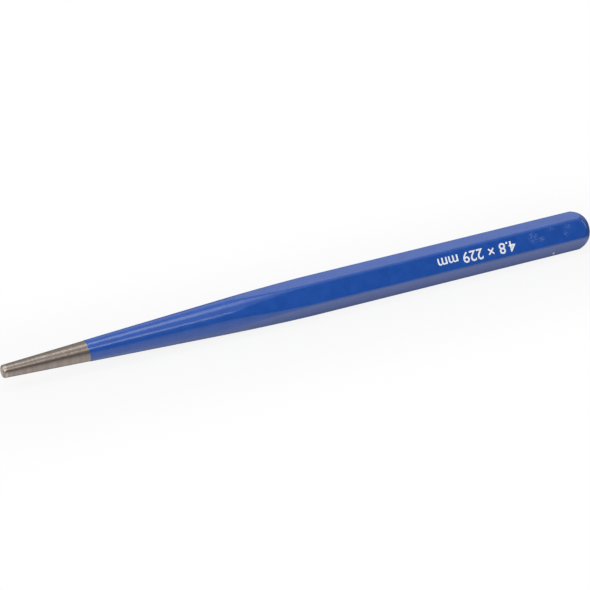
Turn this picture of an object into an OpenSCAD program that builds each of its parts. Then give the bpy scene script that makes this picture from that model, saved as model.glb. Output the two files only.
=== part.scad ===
// Drift punch: a hexagonal steel bar, turned to a long taper at one end and rounded at
// the other, with an enamel film over everything but the working tip.
// The punch is drawn upright, tip down on Z = 0, and then laid on one of its flats.

/* [Bar] */
// Length of the steel from the tip to the struck face
bar_length = 228.6; // [190:0.1:280]
// Width of the hexagonal bar across its flats
across_flats = 12.7; // [10:0.1:16]
// Radius of the six long corners of the bar
corner_radius = 0.9; // [0.3:0.1:1.6]

/* [Taper] */
// Diameter of the tip, before its edge is broken
tip_diameter = 4.65; // [3:0.05:7]
// Width of the broken edge around the tip
tip_chamfer = 0.5; // [0.2:0.1:1]
// Length from the tip to where the taper leaves the corners of the bar
taper_length = 127; // [100:1:160]
// Length of the curved run-out at the thick end of the taper
runout_length = 45; // [25:1:70]

/* [Head] */
// Diameter of the flat struck face
struck_face_diameter = 8.2; // [6:0.1:9.5]
// Length of the rounding between the shank and the struck face
head_length = 5.5; // [4:0.1:8]

/* [Enamel] */
// Thickness of the enamel film
enamel_film = 0.1; // [0.06:0.01:0.2]
// Length of bare steel left at the tip
bare_length = 31; // [15:0.5:60]

/* [Hidden] */
$fn = 96;

// The turned surfaces pass this far outside the corners, so that they meet them at an angle
corner_overrun = 0.05;
// Straight steps that draw the run-out's shallow arc
runout_steps = 12;

corner_count = 6;
corner_step = 360 / corner_count;
half_step = corner_step / 2;

// The rounded corners, seen along the bar
corner_centre = (across_flats / 2 - corner_radius) / cos(half_step);
corner_reach = corner_centre + corner_radius;
turned_radius = corner_reach + corner_overrun;

// The taper: a straight cone, then an arc that ends parallel to the bar
tip_radius = tip_diameter / 2;
cone_length = taper_length - runout_length;
cone_angle = atan((turned_radius - tip_radius) / (taper_length - runout_length / 2));
runout_radius = runout_length / sin(cone_angle);

// The head: an arc that starts parallel to the bar and ends at the struck face
head_start = bar_length - head_length;
head_drop = turned_radius - struck_face_diameter / 2;
head_radius = (pow(head_length, 2) + pow(head_drop, 2)) / (2 * head_drop);

// Radius and height of the run-out where it is still inclined by this angle
function runout_point(angle) = [
    turned_radius - runout_radius * (1 - cos(angle)),
    taper_length - runout_radius * sin(angle)
];

// Half of the turned outline, with every surface moved outwards by the film
module turned_outline(film) {
    chamfer_radius = tip_radius + tip_chamfer * tan(cone_angle);
    side = concat(
        [[tip_radius - tip_chamfer, 0], [chamfer_radius, tip_chamfer]],
        [for (i = [0:runout_steps]) runout_point(cone_angle * (1 - i / runout_steps))],
        [[turned_radius, head_start]]
    );
    polygon(concat(
        [[0, 0]],
        [for (point = side) point + [film, 0]],
        [[0, head_start]]
    ));
    intersection() {
        translate([turned_radius - head_radius, head_start]) circle(head_radius + film);
        translate([0, head_start]) square([turned_radius + film, head_length + film]);
    }
}

// Cross-section of the bar with its rounded corners, one flat facing +X
module bar_section(film) {
    radius = corner_radius + film;
    rotate(half_step) {
        polygon([
            for (k = [1:corner_count], side = [-half_step, half_step])
                let (corner = k * corner_step)
                    corner_centre * [cos(corner), sin(corner)]
                    + radius * [cos(corner + side), sin(corner + side)]
        ]);
        for (k = [1:corner_count])
            rotate(k * corner_step) translate([corner_centre, 0]) circle(radius);
    }
}

// The whole punch: the hexagonal bar cut back to its turned outline
module punch_form(film) {
    intersection() {
        linear_extrude(bar_length + film) bar_section(film);
        rotate_extrude() turned_outline(film);
    }
}

// Everything past the line where the enamel starts
module painted_stretch() {
    translate([0, 0, bare_length]) cylinder(d = 2 * across_flats, h = bar_length);
}

// Turns the upright punch on its side, flat down, tip towards -X
module lay_on_flat() {
    translate([-(bar_length + enamel_film) / 2, 0, across_flats / 2 + enamel_film])
        rotate([0, 90, 0]) children();
}

// One piece of steel from the tip to the struck face
module steel_body() {
    color([0.55, 0.51, 0.47]) lay_on_flat() punch_form(0);
}

// Film of enamel over the rest of the taper, the shank and the head
module enamel_coat() {
    color([0.13, 0.3, 0.61]) lay_on_flat() difference() {
        intersection() {
            punch_form(enamel_film);
            painted_stretch();
        }
        punch_form(0);
    }
}

steel_body();
enamel_coat();
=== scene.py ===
import math

import bpy
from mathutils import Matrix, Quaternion, Vector


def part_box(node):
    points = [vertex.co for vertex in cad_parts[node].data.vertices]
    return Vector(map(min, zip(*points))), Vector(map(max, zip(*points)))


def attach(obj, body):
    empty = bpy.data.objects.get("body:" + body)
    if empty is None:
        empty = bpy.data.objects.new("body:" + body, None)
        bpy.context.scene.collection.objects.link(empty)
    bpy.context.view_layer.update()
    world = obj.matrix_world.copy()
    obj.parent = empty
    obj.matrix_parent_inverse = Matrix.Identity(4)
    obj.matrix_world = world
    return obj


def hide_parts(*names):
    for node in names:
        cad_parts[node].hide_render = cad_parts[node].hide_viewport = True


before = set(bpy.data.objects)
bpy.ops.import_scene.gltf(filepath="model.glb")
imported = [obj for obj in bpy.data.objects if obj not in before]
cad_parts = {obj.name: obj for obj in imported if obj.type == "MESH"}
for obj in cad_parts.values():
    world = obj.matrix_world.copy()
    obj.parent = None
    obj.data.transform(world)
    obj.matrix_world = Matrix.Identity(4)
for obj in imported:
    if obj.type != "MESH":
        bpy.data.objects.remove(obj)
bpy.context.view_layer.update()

# Steel body.
# One piece of hexagonal tool steel, turned to a long taper with a broken edge at the tip and rounded at
# the struck end. The tip is left bare and ground round and round, with a painted highlight just behind
# its chamfer.
MM = 0.001
quarter_turn = math.radians(90)
half_corner = math.radians(30)
steel_low, steel_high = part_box("steel_body")
coat_low, coat_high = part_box("enamel_coat")
tip_x = steel_low.x
head_x = coat_high.x
axis_z = (coat_low.z + coat_high.z) / 2
film = steel_low.z - coat_low.z
across_flats = steel_high.z - steel_low.z
steel_length = steel_high.x - steel_low.x

corner_radius = 0.9 * MM
corner_overrun = 0.05 * MM
tip_radius = 2.325 * MM
tip_chamfer = 0.5 * MM
taper_length = 127 * MM
runout_length = 45 * MM
struck_face_radius = 4.1 * MM
head_length = 5.5 * MM

corner_reach = (across_flats / 2 - corner_radius) / math.cos(half_corner) + corner_radius
turned_radius = corner_reach + corner_overrun
cone_length = taper_length - runout_length
cone_slope = (turned_radius - tip_radius) / (taper_length - runout_length / 2)
runout_arc = runout_length / math.sin(math.atan(cone_slope))
head_start = steel_length - head_length
head_drop = turned_radius - struck_face_radius
head_arc = (head_length**2 + head_drop**2) / (2 * head_drop)
tip_face_radius = tip_radius - tip_chamfer


def turned_radius_at(distance):
    """Radius of the turned steel at a distance from the tip."""
    if distance < cone_length:
        return tip_radius + distance * cone_slope
    if distance < taper_length:
        left = taper_length - distance
        return turned_radius - runout_arc + math.sqrt(runout_arc**2 - left**2)
    past = max(distance - head_start, 0.0)
    return turned_radius - head_arc + math.sqrt(head_arc**2 - past**2)


def radius_of(point):
    """Distance of a point from the axis of the bar."""
    return math.hypot(point.y, point.z - axis_z)


def steps(start, end, count):
    """Evenly spaced values from start to end, both included."""
    return [start + (end - start) * i / count for i in range(count + 1)]


def ring_places(first, stretches):
    """Places of rings along the bar: the first ones, then each stretch in so many equal parts."""
    places = list(first)
    for start, end, parts in stretches:
        places += steps(start, end, parts)[1:]
    return places


def only(piece):
    """Makes a piece the one that operators act on."""
    bpy.ops.object.select_all(action="DESELECT")
    piece.select_set(True)
    bpy.context.view_layer.objects.active = piece


def select_in_edit_mode(piece, kind, wanted):
    """Opens a piece in edit mode with only the wanted vertices or edges selected."""
    only(piece)
    bpy.context.tool_settings.mesh_select_mode = (kind == "VERT", kind == "EDGE", False)
    bpy.ops.object.mode_set(mode="EDIT")
    bpy.ops.mesh.select_all(action="DESELECT")
    bpy.ops.object.mode_set(mode="OBJECT")
    parts = piece.data.vertices if kind == "VERT" else piece.data.edges
    for part in parts:
        part.select = wanted(part)
    bpy.ops.object.mode_set(mode="EDIT")


def apply_modifier(piece, kind, **settings):
    """Adds a modifier with these settings and applies it."""
    only(piece)
    modifier = piece.modifiers.new(kind.lower(), kind)
    for name, value in settings.items():
        setattr(modifier, name, value)
    bpy.ops.object.modifier_apply(modifier=modifier.name)


def ring_tube(name, rings):
    """Open tube along the bar: a circle, extruded and scaled to each place and radius in turn."""
    points_round_bar = 216
    place, radius = rings[0]
    bpy.ops.object.select_all(action="DESELECT")
    bpy.ops.mesh.primitive_circle_add(
        vertices=points_round_bar,
        radius=radius,
        location=(place, 0, axis_z),
        rotation=(0, quarter_turn, 0),
    )
    tube = bpy.context.object
    tube.name = name
    bpy.ops.object.transform_apply(location=True, rotation=True, scale=True)
    bpy.context.tool_settings.mesh_select_mode = (False, True, False)
    bpy.ops.object.mode_set(mode="EDIT")
    bpy.ops.mesh.select_all(action="SELECT")
    for next_place, next_radius in rings[1:]:
        bpy.ops.mesh.extrude_region_move(TRANSFORM_OT_translate={"value": (next_place - place, 0, 0)})
        growth = next_radius / radius
        bpy.ops.transform.resize(value=(1, growth, growth), center_override=(next_place, 0, axis_z))
        place, radius = next_place, next_radius
    bpy.ops.mesh.select_all(action="SELECT")
    bpy.ops.mesh.normals_make_consistent(inside=False)
    bpy.ops.object.mode_set(mode="OBJECT")
    return tube


def hexagon_bar(name, growth):
    """Length of hexagonal bar, a flat down, with its six long edges rounded."""
    bar_margin = 20 * MM
    edge_segments = 10
    bpy.ops.object.select_all(action="DESELECT")
    bpy.ops.mesh.primitive_cylinder_add(
        vertices=6,
        radius=(across_flats / 2 + growth) / math.cos(half_corner),
        depth=steel_length + 2 * bar_margin,
        location=((tip_x + head_x) / 2, 0, axis_z),
        rotation=(0, quarter_turn, 0),
    )
    bar = bpy.context.object
    bar.name = name
    bpy.ops.object.transform_apply(location=True, rotation=True, scale=True)
    points = bar.data.vertices

    def is_long(edge):
        start, end = (points[i].co for i in edge.vertices)
        return abs(start.x - end.x) > bar_margin

    select_in_edit_mode(bar, "EDGE", is_long)
    bpy.ops.mesh.bevel(
        offset_type="OFFSET",
        offset=(corner_radius + growth) * math.tan(half_corner),
        segments=edge_segments,
        affect="EDGES",
    )
    bpy.ops.object.mode_set(mode="OBJECT")
    return bar


def turned_blank(name, growth):
    """The turned outline by itself, which the lathe would give from round bar."""
    past_end = 1 * MM
    before_head = 40 * MM
    cone_rings = 2
    runout_rings = 24
    head_rings = 24
    places = ring_places(
        [0.0],
        [(0.0, cone_length, cone_rings), (cone_length, taper_length, runout_rings)],
    )
    places.append(head_start - before_head)
    rings = [(tip_x - past_end, turned_radius_at(0) - past_end * cone_slope + growth)]
    rings += [(tip_x + place, turned_radius_at(place) + growth) for place in places]
    turn = math.asin((head_length + growth) / (head_arc + growth))
    for angle in steps(0, turn, head_rings):
        reach = (head_arc + growth) * math.sin(angle)
        drop = head_arc - (head_arc + growth) * math.cos(angle)
        rings.append((tip_x + head_start + reach, turned_radius - drop))
    return ring_tube(name, rings)


def wrapped_bar(name, growth, places):
    """Fine skin over the turned hexagonal bar: a thin sleeve pushed out onto whichever is nearer."""
    sleeve_radius = 0.5 * MM
    blank = turned_blank("turned_blank", growth)
    bar = hexagon_bar("hexagon_bar", growth)
    skin = ring_tube(name, [(tip_x + place, sleeve_radius) for place in places])
    apply_modifier(
        skin,
        "SHRINKWRAP",
        wrap_method="PROJECT",
        target=blank,
        auxiliary_target=bar,
        use_positive_direction=True,
        use_negative_direction=False,
    )
    for helper in (blank, bar):
        bpy.data.objects.remove(helper)
    return skin


def close_end(skin, place, face_x, face_radius):
    """Closes an end of a skin with a flat face: its last ring goes to the face and is filled."""
    ring_reach = 0.005 * MM
    ring_gap = 0.12
    rings_in_face = 5

    def in_last_ring(vertex):
        return abs(vertex.co.x - place) < ring_reach

    select_in_edit_mode(skin, "VERT", in_last_ring)
    radius = max(radius_of(vertex.co) for vertex in skin.data.vertices if in_last_ring(vertex))
    shrink = face_radius / radius
    bpy.ops.mesh.extrude_region_move(TRANSFORM_OT_translate={"value": (face_x - place, 0, 0)})
    bpy.ops.transform.resize(value=(1, shrink, shrink), center_override=(face_x, 0, axis_z))
    bpy.ops.mesh.edge_face_add()
    for _ in range(rings_in_face):
        bpy.ops.mesh.inset(thickness=face_radius * ring_gap)
    bpy.ops.mesh.poke()
    bpy.ops.mesh.select_all(action="SELECT")
    bpy.ops.mesh.normals_make_consistent(inside=False)
    bpy.ops.object.mode_set(mode="OBJECT")


def soften_edge(piece, width, wanted):
    """Rounds the edges of a piece whose two ends are both wanted points."""
    round_segments = 3
    points = piece.data.vertices
    select_in_edit_mode(piece, "EDGE", lambda edge: all(wanted(points[i].co) for i in edge.vertices))
    bpy.ops.mesh.bevel(offset_type="OFFSET", offset=width, segments=round_segments, affect="EDGES")
    bpy.ops.object.mode_set(mode="OBJECT")


edge_reach = 0.01 * MM
tip_edge_round = 0.12 * MM
tip_corner_round = 0.3 * MM
head_edge = 0.35 * MM
behind_corner = tip_chamfer + 0.4 * MM
cone_begin = 1.2 * MM
head_end = steel_length - head_edge
steel_ring_counts = {"cone": 28, "run_out": 30, "shank": 12, "head": 12}
steel_crease = math.radians(25)
steel_places = ring_places(
    [tip_chamfer, behind_corner, cone_begin],
    [
        (cone_begin, cone_length, steel_ring_counts["cone"]),
        (cone_length, taper_length, steel_ring_counts["run_out"]),
        (taper_length, head_start, steel_ring_counts["shank"]),
        (head_start, head_end, steel_ring_counts["head"]),
    ],
)
steel_piece = wrapped_bar("punch_steel", 0.0, steel_places)
close_end(steel_piece, tip_x + tip_chamfer, tip_x, tip_face_radius)
close_end(steel_piece, tip_x + head_end, tip_x + steel_length, struck_face_radius)
soften_edge(
    steel_piece,
    tip_edge_round,
    lambda point: point.x < tip_x + edge_reach and radius_of(point) > tip_face_radius - edge_reach,
)
soften_edge(steel_piece, tip_corner_round, lambda point: abs(point.x - tip_x - tip_chamfer) < edge_reach)
only(steel_piece)
bpy.ops.object.shade_smooth_by_angle(angle=steel_crease)
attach(steel_piece, "root")
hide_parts("steel_body")


def add_node(tree, kind, inputs=None, **settings):
    """Adds a node, sets its options, and fills its inputs with values or with links."""
    node = tree.nodes.new(kind)
    for name, value in settings.items():
        setattr(node, name, value)
    for name, value in (inputs or {}).items():
        socket = node.inputs[name]
        if isinstance(value, bpy.types.NodeSocket):
            tree.links.new(value, socket)
        else:
            socket.default_value = value
    return node


def calculate(tree, operation, first, second=0.0):
    """Socket that holds the result of one sum."""
    return add_node(tree, "ShaderNodeMath", {0: first, 1: second}, operation=operation).outputs[0]


def fade(tree, value, start, end):
    """Socket that goes smoothly from 0 to 1 as the value goes from start to end."""
    inputs = {"Value": value, "From Min": start, "From Max": end}
    return add_node(tree, "ShaderNodeMapRange", inputs, interpolation_type="SMOOTHSTEP").outputs[0]


def between(tree, share, first, second):
    """Socket with the first value where share is 0 and the second where it is 1."""
    inputs = {"Value": share, "To Min": first, "To Max": second}
    return add_node(tree, "ShaderNodeMapRange", inputs).outputs[0]


def blend_colours(tree, share, first, second):
    """Socket with the first colour where share is 0 and the second where it is 1."""
    first_socket, second_socket, result_socket = 6, 7, 2
    inputs = {"Factor": share, first_socket: first, second_socket: second}
    return add_node(tree, "ShaderNodeMix", inputs, data_type="RGBA").outputs[result_socket]


def noise(tree, point, scale, detail=2.0, roughness=0.5):
    """Socket with cloudy noise, so many clouds to the millimetre."""
    inputs = {"Vector": point, "Scale": scale, "Detail": detail, "Roughness": roughness}
    return add_node(tree, "ShaderNodeTexNoise", inputs).outputs[0]


def new_group(name, inputs, outputs):
    """Empty node group with named sockets, its inputs all values; gives the group and its end nodes."""
    group = bpy.data.node_groups.new(name, "ShaderNodeTree")
    for socket in inputs:
        group.interface.new_socket(socket, in_out="INPUT", socket_type="NodeSocketFloat")
    for socket, kind in outputs.items():
        group.interface.new_socket(socket, in_out="OUTPUT", socket_type=kind)
    return group, group.nodes.new("NodeGroupInput"), group.nodes.new("NodeGroupOutput")


def use_group(tree, group, inputs=None):
    """Places a node group in a tree with its own values; gives its outputs."""
    return add_node(tree, "ShaderNodeGroup", inputs, node_tree=group).outputs


def new_material(name):
    """Empty node material; gives it, its tree and its one Principled shader."""
    material = bpy.data.materials.new(name)
    material.use_nodes = True
    return material, material.node_tree, material.node_tree.nodes["Principled BSDF"]


# Places on the punch, in millimetres: along it from the tip, and in degrees about its own axis.
place_group, _, place_out = new_group(
    "place_on_punch",
    [],
    {"Along": "NodeSocketFloat", "Round": "NodeSocketFloat", "Point": "NodeSocketVector"},
)
place_point = add_node(
    place_group,
    "ShaderNodeMapping",
    {
        "Vector": add_node(place_group, "ShaderNodeTexCoord").outputs["Object"],
        "Location": (-tip_x / MM, 0, -axis_z / MM),
        "Scale": (1 / MM, 1 / MM, 1 / MM),
    },
).outputs[0]
place_axes = add_node(place_group, "ShaderNodeSeparateXYZ", {0: place_point}).outputs
place_round = calculate(place_group, "ARCTAN2", place_axes["Z"], place_axes["Y"])
place_group.links.new(place_axes["X"], place_out.inputs["Along"])
place_group.links.new(calculate(place_group, "DEGREES", place_round), place_out.inputs["Round"])
place_group.links.new(place_point, place_out.inputs["Point"])

# Marks that a wheel or a tool leaves as the bar turns: fine uneven rings.
marks_group, marks_in, marks_out = new_group(
    "turning_marks",
    ["Rings per mm", "Breaks per mm"],
    {"Height": "NodeSocketFloat"},
)
marks_axes = add_node(
    marks_group,
    "ShaderNodeSeparateXYZ",
    {0: use_group(marks_group, place_group)["Point"]},
).outputs
marks_along = calculate(marks_group, "MULTIPLY", marks_axes["X"], marks_in.outputs["Rings per mm"])
marks_across = [
    calculate(marks_group, "MULTIPLY", marks_axes[axis], marks_in.outputs["Breaks per mm"])
    for axis in ("Y", "Z")
]
marks_point = add_node(
    marks_group,
    "ShaderNodeCombineXYZ",
    {"X": marks_along, "Y": marks_across[0], "Z": marks_across[1]},
).outputs[0]
marks_height = noise(marks_group, marks_point, scale=1.0, detail=3.0, roughness=0.65)
marks_group.links.new(marks_height, marks_out.inputs["Height"])

# The bare steel: rings of fine and coarse marks round it, marks of the saw across the tip's face, and
# a painted highlight, a paler ring just behind the chamfer.
# A pair of values is where an effect begins and where it is full: a height of the marks, or a distance
# from the tip in millimetres.
steel_dark = (0.260, 0.219, 0.191, 1)
steel_pale = (0.330, 0.281, 0.248, 1)
# Painted highlight: the paler colour of the ring just behind the chamfer.
steel_highlight_ring_colour = (0.46, 0.395, 0.35, 1)
dark_roughness = 0.41
pale_roughness = 0.34
fine_rings = {"Rings per mm": 2.4, "Breaks per mm": 0.10}
coarse_rings = {"Rings per mm": 0.6, "Breaks per mm": 0.06}
fine_share = 0.6
coarse_share = 0.4
saw_turn = math.radians(25)
saw_stretch = (1, 0.35, 3.2)
saw_lowest = 0.38
saw_highest = 0.66
pale_heights = (0.36, 0.64)
end_face_edge = (0.06, 0.02)
highlight_ring_behind_chamfer = (0.6, 0.85)
highlight_ring_by_tip = (2.0, 0.9)
marks_depth = 0.010 * MM
steel, steel_tree, steel_shader = new_material("ground_steel")
steel_place = use_group(steel_tree, place_group)
fine_marks = use_group(steel_tree, marks_group, fine_rings)["Height"]
coarse_marks = use_group(steel_tree, marks_group, coarse_rings)["Height"]
ring_marks = calculate(
    steel_tree,
    "ADD",
    calculate(steel_tree, "MULTIPLY", fine_marks, fine_share),
    calculate(steel_tree, "MULTIPLY", coarse_marks, coarse_share),
)
saw_point = add_node(
    steel_tree,
    "ShaderNodeMapping",
    {"Vector": steel_place["Point"], "Rotation": (saw_turn, 0, 0), "Scale": saw_stretch},
).outputs[0]
saw_noise = noise(steel_tree, saw_point, scale=1.0, detail=3.0)
saw_marks = between(steel_tree, saw_noise, saw_lowest, saw_highest)
on_end_face = fade(steel_tree, steel_place["Along"], *end_face_edge)
steel_marks = add_node(
    steel_tree,
    "ShaderNodeMix",
    {"Factor": on_end_face, "A": ring_marks, "B": saw_marks},
).outputs[0]
steel_light = fade(steel_tree, steel_marks, *pale_heights)
steel_colour = blend_colours(steel_tree, steel_light, steel_dark, steel_pale)
# Painted highlight: the steel is paler in a ring just behind the chamfer.
painted_highlight_ring = calculate(
    steel_tree,
    "MULTIPLY",
    fade(steel_tree, steel_place["Along"], *highlight_ring_behind_chamfer),
    fade(steel_tree, steel_place["Along"], *highlight_ring_by_tip),
)
steel_colour = blend_colours(steel_tree, painted_highlight_ring, steel_colour, steel_highlight_ring_colour)
steel_tree.links.new(steel_colour, steel_shader.inputs["Base Color"])
steel_roughness = between(steel_tree, steel_light, dark_roughness, pale_roughness)
steel_tree.links.new(steel_roughness, steel_shader.inputs["Roughness"])
steel_bump = add_node(
    steel_tree,
    "ShaderNodeBump",
    {"Height": steel_marks, "Strength": 1.0, "Distance": marks_depth},
)
steel_tree.links.new(steel_bump.outputs[0], steel_shader.inputs["Normal"])
steel_shader.inputs["Metallic"].default_value = 1.0
steel_piece.data.materials.append(steel)

# Enamel coat.
# A film of glossy blue enamel over the thick part of the taper, the shank and the head. It is sprayed
# against a mask, so it ends in a clean edge, a little out of square, around the bare tip.
line_shift = 0.35 * MM
line_slant = math.radians(4.8)
line_reach = 0.8 * MM
line_wobble = 0.3 * MM
wobble_size = 1.6 * MM
film_edge_round = 0.06 * MM
enamel_crease = math.radians(40)
line_x = coat_low.x + line_shift
coat_start = line_x - tip_x
coat_length = head_x - tip_x
behind_line = coat_start + 1.5 * MM
runout_begin = cone_length - 3 * MM
runout_end = taper_length + 2 * MM
head_begin = head_start - 1 * MM
coat_ring_counts = {"cone": 24, "run_out": 90, "shank": 18, "head": 26}
coat_places = ring_places(
    [coat_start, behind_line],
    [
        (behind_line, runout_begin, coat_ring_counts["cone"]),
        (runout_begin, runout_end, coat_ring_counts["run_out"]),
        (runout_end, head_begin, coat_ring_counts["shank"]),
        (head_begin, coat_length - head_edge, coat_ring_counts["head"]),
    ],
)
coat_piece = wrapped_bar("punch_enamel", film, coat_places)
close_end(coat_piece, head_x - head_edge, head_x, struck_face_radius)


def group_points(piece, name, wanted):
    """Vertex group of the wanted points of a piece, all at full weight."""
    points = [vertex.index for vertex in piece.data.vertices if wanted(vertex.co)]
    piece.vertex_groups.new(name=name).add(points, 1.0, "REPLACE")


# The paint fills the creases where the taper and the head's rounding run out over the flats.
soft_stretches = {
    "run_out": (tip_x + taper_length - 44 * MM, tip_x + taper_length - 1 * MM),
    "head": (tip_x + head_start + 0.3 * MM, head_x - 0.6 * MM),
}
soft_passes = {"run_out": 24, "head": 30}
soft_share = 0.5
soft_reach = corner_reach - 0.15 * MM
for name, (start, end) in soft_stretches.items():
    group_points(coat_piece, name, lambda point: start < point.x < end and radius_of(point) < soft_reach)
    apply_modifier(
        coat_piece,
        "SMOOTH",
        factor=soft_share,
        iterations=soft_passes[name],
        vertex_group=name,
    )

group_points(coat_piece, "paint_line", lambda point: point.x < line_x + edge_reach)
wobble = bpy.data.textures.new("paint_line_wobble", "CLOUDS")
wobble.noise_scale = wobble_size
apply_modifier(
    coat_piece,
    "DISPLACE",
    texture=wobble,
    texture_coords="LOCAL",
    direction="X",
    strength=line_wobble,
    vertex_group="paint_line",
)
select_in_edit_mode(coat_piece, "VERT", lambda vertex: vertex.co.x < line_x + line_reach)
bpy.ops.transform.rotate(value=line_slant, orient_axis="Y", center_override=(line_x, 0, axis_z))
bpy.ops.object.mode_set(mode="OBJECT")
apply_modifier(coat_piece, "SOLIDIFY", thickness=film, offset=-1.0, use_even_offset=True)
soften_edge(
    coat_piece,
    film_edge_round,
    lambda point: point.x < line_x + line_reach
    and radius_of(point) > turned_radius_at(point.x - tip_x) + film / 2,
)
only(coat_piece)
bpy.ops.object.shade_smooth_by_angle(angle=enamel_crease)
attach(coat_piece, "root")
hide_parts("enamel_coat")

# A worn patch about one place on the punch: its soft outline, and the scratches in it.
patch_edge = (1.0, 0.1)
scratch_heights = (0.52, 0.60)
mm_per_degree = math.radians(1) * corner_reach / MM
patch_group, patch_in, patch_out = new_group(
    "worn_patch",
    ["Along", "Round", "Length", "Width"],
    {"Outline": "NodeSocketFloat", "Scratches": "NodeSocketFloat"},
)
patch_place = use_group(patch_group, place_group)


def offset_in_patch(axis, scale, reach):
    """Socket with the distance from the middle of the patch, as a share of its reach, squared."""
    offset = calculate(patch_group, "SUBTRACT", patch_place[axis], patch_in.outputs[axis])
    length = calculate(patch_group, "MULTIPLY", offset, scale)
    share = calculate(patch_group, "DIVIDE", length, patch_in.outputs[reach])
    return calculate(patch_group, "MULTIPLY", share, share)


patch_far = calculate(
    patch_group,
    "ADD",
    offset_in_patch("Along", 1.0, "Length"),
    offset_in_patch("Round", mm_per_degree, "Width"),
)
patch_outline = fade(patch_group, patch_far, *patch_edge)
patch_noise = noise(patch_group, patch_place["Point"], scale=2.6, detail=3.0, roughness=0.6)
patch_scratches = calculate(
    patch_group,
    "MULTIPLY",
    patch_outline,
    fade(patch_group, patch_noise, *scratch_heights),
)
patch_group.links.new(patch_outline, patch_out.inputs["Outline"])
patch_group.links.new(patch_scratches, patch_out.inputs["Scratches"])

# The flats and rounded corners of the bar as it was drawn, which the turned taper and head cut into.
drawn_edge = 0.15
enamel, enamel_tree, enamel_shader = new_material("blue_enamel")
enamel_place = use_group(enamel_tree, place_group)
enamel_axes = add_node(enamel_tree, "ShaderNodeSeparateXYZ", {0: enamel_place["Point"]}).outputs
from_level = calculate(enamel_tree, "ABSOLUTE", enamel_axes["Z"])
from_upright = calculate(enamel_tree, "ABSOLUTE", enamel_axes["Y"])
slanted_reach = calculate(
    enamel_tree,
    "ADD",
    calculate(enamel_tree, "MULTIPLY", from_upright, math.cos(half_corner)),
    calculate(enamel_tree, "MULTIPLY", from_level, math.sin(half_corner)),
)
hexagon_reach = calculate(enamel_tree, "MAXIMUM", from_level, slanted_reach)
drawn_reach = (corner_reach + film) * math.cos(half_corner) / MM
drawn_bar = fade(enamel_tree, hexagon_reach, drawn_reach - drawn_edge, drawn_reach)
turned_part = between(enamel_tree, drawn_bar, 1.0, 0.0)

# Wear by the head, in millimetres from the tip and degrees round the bar: rubbed patches and a chip.
scuffs = [
    {"Along": 204.5, "Round": 143.0, "Length": 2.5, "Width": 3.0},
    {"Along": 207.7, "Round": 153.0, "Length": 1.8, "Width": 1.4},
    {"Along": 212.5, "Round": 130.0, "Length": 2.5, "Width": 0.7},
    {"Along": 217.6, "Round": 154.5, "Length": 1.2, "Width": 1.8},
    {"Along": 219.0, "Round": 133.0, "Length": 2.0, "Width": 1.2},
]
chip_place = {"Along": 213.05, "Round": -135.0, "Length": 0.5, "Width": 0.85}
scratches = [use_group(enamel_tree, patch_group, scuff)["Scratches"] for scuff in scuffs]
scuffed = scratches[0]
for scratch in scratches[1:]:
    scuffed = calculate(enamel_tree, "MAXIMUM", scuffed, scratch)
chip = use_group(enamel_tree, patch_group, chip_place)["Outline"]

enamel_deep = (0.0138, 0.074, 0.345, 1)
enamel_thin = (0.0190, 0.086, 0.389, 1)
scuff_colour = (0.25, 0.36, 0.62, 1)
chip_colour = (0.80, 0.79, 0.88, 1)
thin_clouds = (0.3, 0.7)
scuff_strength = 0.34
cloud = noise(enamel_tree, enamel_place["Point"], scale=0.25, detail=4.0, roughness=0.6)
thin_paint = fade(enamel_tree, cloud, *thin_clouds)
rubbed = calculate(enamel_tree, "MULTIPLY", scuffed, scuff_strength)
enamel_colour = blend_colours(enamel_tree, thin_paint, enamel_deep, enamel_thin)
enamel_colour = blend_colours(enamel_tree, rubbed, enamel_colour, scuff_colour)
enamel_colour = blend_colours(enamel_tree, chip, enamel_colour, chip_colour)
enamel_tree.links.new(enamel_colour, enamel_shader.inputs["Base Color"])

flat_roughness = 0.14
turned_roughness = 0.21
scuff_roughness = 0.25
enamel_roughness = calculate(
    enamel_tree,
    "ADD",
    between(enamel_tree, turned_part, flat_roughness, turned_roughness),
    calculate(enamel_tree, "MULTIPLY", scuffed, scuff_roughness),
)
enamel_tree.links.new(enamel_roughness, enamel_shader.inputs["Roughness"])

# Heights in millimetres: the ripple and the fine peel of the sprayed paint, and the grinding under it.
ripple_height = 0.06
peel_height = 0.012
grinding_height = 0.022
grinding_rings = {"Rings per mm": 1.1, "Breaks per mm": 0.2}
ripple_noise = noise(enamel_tree, enamel_place["Point"], scale=0.22, detail=1.0)
peel_noise = noise(enamel_tree, enamel_place["Point"], scale=0.9, detail=2.0)
ripple = calculate(enamel_tree, "MULTIPLY", ripple_noise, ripple_height)
peel = calculate(enamel_tree, "MULTIPLY", peel_noise, peel_height)
grinding = calculate(
    enamel_tree,
    "MULTIPLY",
    use_group(enamel_tree, marks_group, grinding_rings)["Height"],
    between(enamel_tree, turned_part, 0.0, grinding_height),
)
enamel_height = calculate(enamel_tree, "ADD", calculate(enamel_tree, "ADD", ripple, peel), grinding)
enamel_bump = add_node(
    enamel_tree,
    "ShaderNodeBump",
    {"Height": enamel_height, "Strength": 1.0, "Distance": MM},
)
enamel_tree.links.new(enamel_bump.outputs[0], enamel_shader.inputs["Normal"])
enamel_shader.inputs["IOR"].default_value = 1.61
coat_piece.data.materials.append(enamel)

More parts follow.
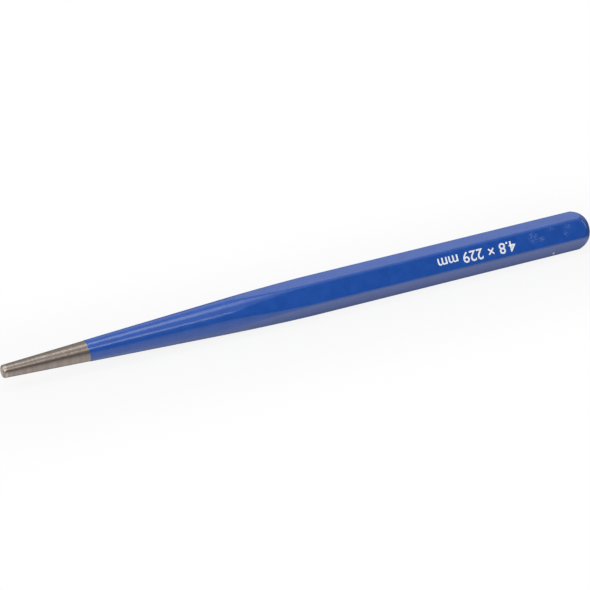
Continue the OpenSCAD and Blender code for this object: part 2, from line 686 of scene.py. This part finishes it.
# Printed mark.
# The size of the tip and the length of the punch, printed in white ink on one flat of the shank.
# It reads from the head, so it is upside down for whoever has the tip on the left.
mark_words = "4.8 × 229 mm"
mark_size = 5.6 * MM
mark_middle = tip_x + 181 * MM
mark_turn = math.radians(180)
flat_tilt = math.radians(60)
ink_film = 0.02 * MM
ink_sunk = 0.004 * MM
ink_spread = 0.05 * MM
ink_merge = ink_film / 10
ink_reach = across_flats / 2 + film + ink_film / 2 - ink_sunk
bpy.ops.object.select_all(action="DESELECT")
bpy.ops.object.text_add(rotation=(0, 0, mark_turn))
mark_text = bpy.context.object
mark_text.data.body = mark_words
mark_text.data.size = mark_size
mark_text.data.align_x = "CENTER"
mark_text.data.align_y = "CENTER"
mark_text.data.extrude = ink_film / 2
mark_text.data.offset = ink_spread
bpy.ops.object.convert(target="MESH")
mark_piece = bpy.context.object
mark_piece.name = "printed_mark"
bpy.ops.object.transform_apply(location=True, rotation=True, scale=True)
bpy.context.tool_settings.mesh_select_mode = (True, False, False)
bpy.ops.object.mode_set(mode="EDIT")
bpy.ops.mesh.select_all(action="SELECT")
bpy.ops.mesh.remove_doubles(threshold=ink_merge)
bpy.ops.mesh.normals_make_consistent(inside=False)
bpy.ops.object.mode_set(mode="OBJECT")
mark_piece.rotation_euler = (flat_tilt, 0, 0)
mark_piece.location = (
    mark_middle,
    -ink_reach * math.sin(flat_tilt),
    axis_z + ink_reach * math.cos(flat_tilt),
)
bpy.ops.object.transform_apply(location=True, rotation=True, scale=True)

ink_white = (0.86, 0.87, 0.90, 1)
ink_rubbed = (0.46, 0.53, 0.72, 1)
rubbed_heights = (0.50, 0.72)
smoothest_ink = 0.35
roughest_ink = 0.6
ink, ink_tree, ink_shader = new_material("white_ink")
ink_point = use_group(ink_tree, place_group)["Point"]
ink_wear = noise(ink_tree, ink_point, scale=3.0, detail=3.0, roughness=0.6)
ink_colour = blend_colours(ink_tree, fade(ink_tree, ink_wear, *rubbed_heights), ink_white, ink_rubbed)
ink_roughness = between(ink_tree, ink_wear, smoothest_ink, roughest_ink)
ink_tree.links.new(ink_colour, ink_shader.inputs["Base Color"])
ink_tree.links.new(ink_roughness, ink_shader.inputs["Roughness"])
mark_piece.data.materials.append(ink)
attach(mark_piece, "root")

# Floor.
# A plain pale table top that the punch lies on. The camera sees it white, with some of the shadow left
# close to the punch. In the gloss it is white beside the bar, with painted shade under it and painted
# shade past the head, where the floor is dark to glossy rays only.
floor_size = 8.0
floor_drop = 0.01 * MM
floor_pale = (0.57, 0.57, 0.57, 1)
# Painted shade: the floor's colour as the gloss sees it past the head.
floor_painted_shade = (0.12, 0.12, 0.12, 1)
white_by_punch = 0.88
shadow_beside = (70 * MM, 15 * MM)
shadow_past_ends = (head_x + 60 * MM, head_x - 10 * MM)
taper_comes_down = (tip_x + 28 * MM, tip_x + 88 * MM)
shade_under_taper = 2.5 * MM
shade_under_shank = 8.5 * MM
shade_begin = 0.5 * MM
gloss_beside = (46 * MM, 6 * MM)
painted_shade_past_head_span = (head_x + 4 * MM, head_x + 11.5 * MM)
bpy.ops.object.select_all(action="DESELECT")
bpy.ops.mesh.primitive_plane_add(size=floor_size, location=(0, 0, -floor_drop))
floor = bpy.context.object
floor.name = "floor"
floor_material, floor_tree, floor_shader = new_material("pale_floor")
floor_shader.inputs["Roughness"].default_value = 0.9
floor_shader.inputs["Specular IOR Level"].default_value = 0.0
floor_path = add_node(floor_tree, "ShaderNodeLightPath").outputs
floor_point = add_node(floor_tree, "ShaderNodeTexCoord").outputs["Object"]
floor_axes = add_node(floor_tree, "ShaderNodeSeparateXYZ", {0: floor_point}).outputs
from_line = calculate(floor_tree, "ABSOLUTE", floor_axes["Y"])
from_middle = calculate(floor_tree, "ABSOLUTE", floor_axes["X"])
by_punch = calculate(
    floor_tree,
    "MULTIPLY",
    fade(floor_tree, from_line, *shadow_beside),
    fade(floor_tree, from_middle, *shadow_past_ends),
)
seen_white = between(floor_tree, by_punch, 1.0, white_by_punch)
# Painted shade in the gloss under the bar: narrow under the raised taper, wide under the shank.
under_shank = fade(floor_tree, floor_axes["X"], *taper_comes_down)
shade_reach = between(floor_tree, under_shank, shade_under_taper, shade_under_shank)
white_beside = calculate(
    floor_tree,
    "MULTIPLY",
    fade(floor_tree, from_line, shade_begin, shade_reach),
    fade(floor_tree, from_line, *gloss_beside),
)
# Past the head the floor is painted dark for glossy rays only, a painted shade in the reflections.
painted_shade_past_head = fade(floor_tree, floor_axes["X"], *painted_shade_past_head_span)
gloss_white = calculate(
    floor_tree,
    "MULTIPLY",
    white_beside,
    between(floor_tree, painted_shade_past_head, 1.0, 0.0),
)
floor_colour = blend_colours(
    floor_tree,
    calculate(floor_tree, "MULTIPLY", floor_path["Is Glossy Ray"], painted_shade_past_head),
    floor_pale,
    floor_painted_shade,
)
floor_tree.links.new(floor_colour, floor_shader.inputs["Base Color"])
white_share = calculate(
    floor_tree,
    "MAXIMUM",
    calculate(floor_tree, "MULTIPLY", floor_path["Is Camera Ray"], seen_white),
    calculate(floor_tree, "MULTIPLY", floor_path["Is Glossy Ray"], gloss_white),
)
floor_white = add_node(floor_tree, "ShaderNodeEmission").outputs[0]
floor_mix = add_node(
    floor_tree,
    "ShaderNodeMixShader",
    {0: white_share, 1: floor_shader.outputs[0], 2: floor_white},
).outputs[0]
floor_tree.links.new(floor_mix, floor_tree.nodes["Material Output"].inputs["Surface"])
floor.data.materials.append(floor_material)

# Studio light.
# A dim room with a pale ceiling, pale panels on its far side, and soft lights at the left, the right and
# the front left. Two long strip lamps hang over the punch, a wide one overhead and a narrow one in front.
room_dim = 0.02
world = bpy.data.worlds.new("studio")
bpy.context.scene.world = world
world.use_nodes = True
world_tree = world.node_tree
world_way = add_node(world_tree, "ShaderNodeTexCoord").outputs["Generated"]


def glow(direction, full, gone, brightness):
    """Socket with a soft patch of the room, full within one angle of a direction and gone past another."""
    inputs = {0: world_way, 1: Vector(direction).normalized()}
    near = add_node(world_tree, "ShaderNodeVectorMath", inputs, operation="DOT_PRODUCT").outputs["Value"]
    share = fade(world_tree, near, math.cos(math.radians(gone)), math.cos(math.radians(full)))
    return calculate(world_tree, "MULTIPLY", share, brightness)


patches = {
    "ceiling": glow((0, 0, 1), full=45, gone=57, brightness=0.43),
    "far left panel": glow((-0.45, 0.83, 0.33), full=22, gone=40, brightness=0.6),
    "panel behind": glow((0.332, 0.827, 0.454), full=10, gone=17, brightness=0.76),
    "far right panel": glow((0.77, 0.60, 0.22), full=14, gone=26, brightness=0.5),
    "right light": glow((0.84, -0.33, 0.43), full=7, gone=18, brightness=1.6),
    "front left light": glow((-0.62, -0.58, 0.53), full=18, gone=34, brightness=2.05),
    "left light": glow((-0.82, 0.22, 0.53), full=13, gone=26, brightness=1.95),
}
room_light = room_dim
for patch in patches.values():
    room_light = calculate(world_tree, "ADD", room_light, patch)
seen = add_node(world_tree, "ShaderNodeLightPath").outputs["Is Camera Ray"]
background = world_tree.nodes["Background"]
background.inputs["Color"].default_value = (1, 1, 1, 1)
world_tree.links.new(between(world_tree, seen, room_light, 1.0), background.inputs["Strength"])


def strip_lamp(name, elevation, distance, width, start, end, brightness):
    """Long soft lamp along the punch, at this elevation above the viewer's side of the floor."""
    length = end - start
    bpy.ops.object.select_all(action="DESELECT")
    bpy.ops.object.light_add(
        type="AREA",
        location=((start + end) / 2, -distance * math.cos(elevation), distance * math.sin(elevation)),
        rotation=(quarter_turn - elevation, 0, 0),
    )
    lamp = bpy.context.object
    lamp.name = name
    lamp.data.shape = "RECTANGLE"
    lamp.data.size = length
    lamp.data.size_y = width
    lamp.data.energy = brightness * math.pi * length * width


strip_lamp(
    "front_lamp",
    elevation=math.radians(44),
    distance=0.8,
    width=0.10,
    start=-0.9,
    end=0.146,
    brightness=4.6,
)
strip_lamp(
    "top_lamp",
    elevation=math.radians(95),
    distance=0.9,
    width=0.34,
    start=-0.9,
    end=0.214,
    brightness=2.5,
)

# Camera.
# It stands in front of the punch on the tip's side, a long lens turned a little on its own axis.
camera_azimuth = math.radians(21.908)
camera_elevation = math.radians(26.995)
camera_roll = math.radians(-3.511)
camera_distance = 1024.16 * MM
camera_aim = Vector((-3.394 * MM, 0, 8.207 * MM))
camera_sensor = 36
camera_lens = 174.24
camera_near = 0.01
way_to_camera = Vector(
    (
        -math.sin(camera_azimuth) * math.cos(camera_elevation),
        -math.cos(camera_azimuth) * math.cos(camera_elevation),
        math.sin(camera_elevation),
    )
)
bpy.ops.object.camera_add(location=camera_aim + camera_distance * way_to_camera)
camera = bpy.context.object
level = (-way_to_camera).to_track_quat("-Z", "Y")
camera.rotation_mode = "QUATERNION"
camera.rotation_quaternion = level @ Quaternion((0, 0, 1), camera_roll)
camera.data.sensor_width = camera_sensor
camera.data.lens = camera_lens
camera.data.clip_start = camera_near
bpy.context.scene.camera = camera
bpy.context.scene.view_settings.view_transform = "Standard"
